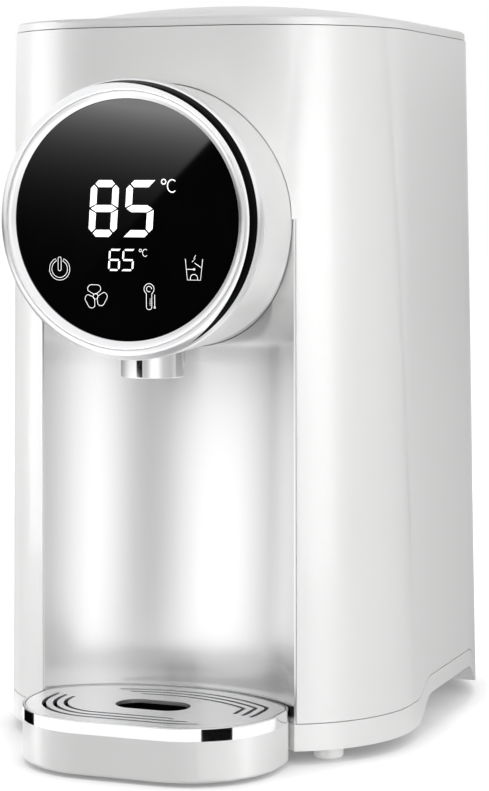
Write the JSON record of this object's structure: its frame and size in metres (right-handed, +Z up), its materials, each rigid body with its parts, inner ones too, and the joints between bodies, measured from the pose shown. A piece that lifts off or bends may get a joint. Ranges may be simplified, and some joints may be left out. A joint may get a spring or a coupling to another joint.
{
  "type": "hot water dispenser",
  "caption": "Countertop electric hot water dispenser: white casing, domed hinged lid, round display head, outlet over a steel niche and a slide-out drip tray.",
  "frame": {"origin": "on the floor below the middle of the whole object's box", "axes": "+Z up, the front with the display and tray faces -Y, +X to the right seen from the front"},
  "size_m": [0.2034, 0.321, 0.353],
  "materials": {
    "white_shell": "satin white moulding",
    "white_foot": "matte",
    "steel_panel": "vertically brushed",
    "chrome": "polished",
    "silver_grille": "satin silver",
    "black_glass": "gloss black",
    "black_plastic": "matte",
    "grey_plastic": "matte",
    "steel": "plain steel",
    "pot_steel": "drawn stainless",
    "silicone": "translucent white silicone",
    "insulation": "felt",
    "aluminium": "as cast",
    "brass": "plain",
    "circuit_board": "solder mask",
    "digit_block": "diffuser"
  },
  "bodies": {
    "dispenser": {"casing": "white_shell", "base_housing": "white_shell", "feet": "white_foot", "base_screws": "steel", "niche_panel": "steel_panel", "niche_frame": "grey_plastic", "top_frame": "white_shell", "hinge_pin": "steel", "head_housing": "white_shell", "head_bezel": "chrome", "display_glass": "black_glass", "display_carrier": "black_plastic", "display_board": "circuit_board", "digit_module": "digit_block", "touch_pads": "silicone", "head_screws": "steel", "nozzle": "chrome", "spout_elbow": "black_plastic", "inner_pot": "pot_steel", "pot_floor": "pot_steel", "pot_neck": "pot_steel", "pot_seal": "silicone", "insulation_sleeve": "insulation", "heater_plate": "aluminium", "heating_element": "steel", "thermal_cutout": "black_plastic", "temperature_probe": "brass", "pump_housing": "black_plastic", "pump_motor": "steel", "inlet_hose": "silicone", "riser_hose": "silicone", "power_board": "circuit_board", "board_components": "black_plastic", "fan_frame": "black_plastic", "power_inlet": "black_plastic", "inlet_pins": "brass"},
    "lid": {"lid_cover": "white_shell", "lid_liner": "grey_plastic", "lid_plug": "pot_steel", "lid_gasket": "silicone", "lid_screws": "steel", "latch_pin": "steel", "latch_spring": "steel"},
    "latch": {"latch_lever": "white_shell"},
    "tray": {"tray_body": "white_shell", "tray_band": "chrome"},
    "grille": {"tray_grille": "silver_grille"},
    "impeller": {"pump_impeller": "grey_plastic"},
    "fan": {"fan_rotor": "black_plastic"}
  },
  "joints": [
    {"name": "lid_hinge", "type": "hinge", "parent": "dispenser", "child": "lid", "pos_m": [0, 0.1195, 0.3404], "axis": [-1, 0, 0], "range_deg": [0, 95]},
    {"name": "latch_rock", "type": "hinge", "parent": "lid", "child": "latch", "pos_m": [0, -0.0905, 0.3391], "axis": [-1, 0, 0], "range_deg": [0, 12], "stiffness_Nm_per_rad": 0.05, "springref_deg": -5.73},
    {"name": "tray_slide", "type": "slide", "parent": "dispenser", "child": "tray", "axis": [0, -1, 0], "range_m": [0, 0.12]},
    {"name": "grille_lift", "type": "slide", "parent": "tray", "child": "grille", "axis": [0, 0, 1], "range_m": [0, 0.025]},
    {"name": "impeller_spin", "type": "hinge", "parent": "dispenser", "child": "impeller", "pos_m": [-0.014, -0.0486, 0.038], "axis": [0, 1, 0], "continuous": true},
    {"name": "fan_spin", "type": "hinge", "parent": "dispenser", "child": "fan", "pos_m": [0, 0.0679, 0.018], "axis": [0, 0, 1], "continuous": true}
  ]
}
